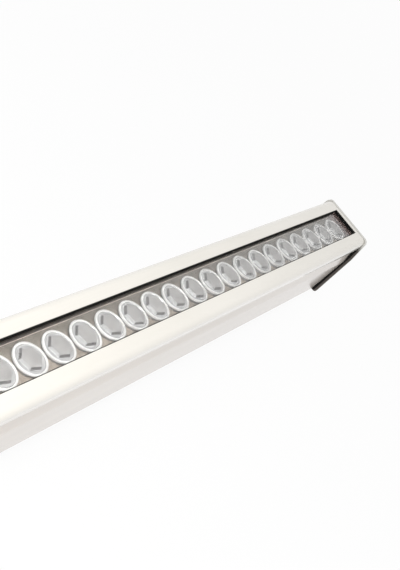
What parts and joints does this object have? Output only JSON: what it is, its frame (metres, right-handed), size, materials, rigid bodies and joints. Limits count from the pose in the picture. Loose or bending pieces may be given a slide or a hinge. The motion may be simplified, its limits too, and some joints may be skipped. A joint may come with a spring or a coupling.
{
  "type": "outdoor wall washer light",
  "caption": "Slim linear LED wall washer: silver profile with a long glazed window over round lenses, end plates, and sliding, tilting feet.",
  "frame": {"origin": "on the floor or wall plane, midway between the two feet, under the middle of the fitting", "axes": "+X along the fitting towards the right end plate, +Y across it, +Z the way the light shines"},
  "size_m": [1.0372, 0.0636, 0.111],
  "materials": {
    "anodised_profile": "satin silver anodised extrusion",
    "silver_cover": "satin silver anodised",
    "black_silicone": "matt black silicone rubber",
    "clear_glass": "clear toughened glass",
    "tray_sheet": "grey-brown satin sheet",
    "lens_plastic": "clear moulded acrylic with frosted disc",
    "led_ceramic": "ceramic package with yellow phosphor",
    "board_face": "white solder mask on aluminium",
    "cast_plate": "satin silver die casting",
    "stainless_screw": "stainless steel",
    "zinc_screw": "zinc plated steel",
    "gland_nylon": "black nylon",
    "thermal_pad": "soft thermal pad",
    "driver_metal": "plain aluminium sheet",
    "driver_pcb": "green circuit board with components",
    "terminal_plastic": "white nylon",
    "bracket_steel": "silver powder coated steel"
  },
  "bodies": {
    "fitting": {"board_screws": "zinc_screw", "driver_board": "driver_pcb", "driver_case": "driver_metal", "driver_lid": "driver_metal", "driver_pad": "thermal_pad", "end_plate_left": "cast_plate", "end_plate_right": "cast_plate", "end_screws_left": "stainless_screw", "end_screws_right": "stainless_screw", "end_seal_left": "black_silicone", "end_seal_right": "black_silicone", "front_cover": "silver_cover", "front_glass": "clear_glass", "gland_body_left": "gland_nylon", "gland_body_right": "gland_nylon", "gland_cap_left": "gland_nylon", "gland_cap_right": "gland_nylon", "gland_nut_left": "gland_nylon", "gland_nut_right": "gland_nylon", "gland_seal_left": "black_silicone", "gland_seal_right": "black_silicone", "gland_sleeve_left": "black_silicone", "gland_sleeve_right": "black_silicone", "glass_gasket": "black_silicone", "housing": "anodised_profile", "led_board_1": "board_face", "led_board_2": "board_face", "led_board_3": "board_face", "led_row_1": "led_ceramic", "led_row_2": "led_ceramic", "led_row_3": "led_ceramic", "lens_row_1": "lens_plastic", "lens_row_2": "lens_plastic", "lens_row_3": "lens_plastic", "lens_tray": "tray_sheet", "terminal_block": "terminal_plastic"},
    "slider_left_body": {"nut_bar_left": "zinc_screw", "slider_left": "bracket_steel", "slider_screws_left": "stainless_screw"},
    "foot_left_body": {"foot_left": "bracket_steel", "pivot_bolt_left": "stainless_screw", "pivot_nut_left": "stainless_screw", "pivot_washers_left": "stainless_screw"},
    "slider_right_body": {"nut_bar_right": "zinc_screw", "slider_right": "bracket_steel", "slider_screws_right": "stainless_screw"},
    "foot_right_body": {"foot_right": "bracket_steel", "pivot_bolt_right": "stainless_screw", "pivot_nut_right": "stainless_screw", "pivot_washers_right": "stainless_screw"}
  },
  "joints": [
    {"name": "slide_left", "type": "slide", "parent": "fitting", "child": "slider_left_body", "axis": [1, 0, 0], "range_m": [-0.14, 0.25]},
    {"name": "tilt_left", "type": "hinge", "parent": "slider_left_body", "child": "foot_left_body", "pos_m": [-0.3, 0, 0.016], "axis": [1, 0, 0], "range_deg": [-45, 45]},
    {"name": "slide_right", "type": "slide", "parent": "fitting", "child": "slider_right_body", "axis": [1, 0, 0], "range_m": [-0.25, 0.14]},
    {"name": "tilt_right", "type": "hinge", "parent": "slider_right_body", "child": "foot_right_body", "pos_m": [0.3, 0, 0.016], "axis": [1, 0, 0], "range_deg": [-45, 45]}
  ],
  "couplings": [
    {"joint": "tilt_right", "follows": "tilt_left", "ratio": 1}
  ]
}
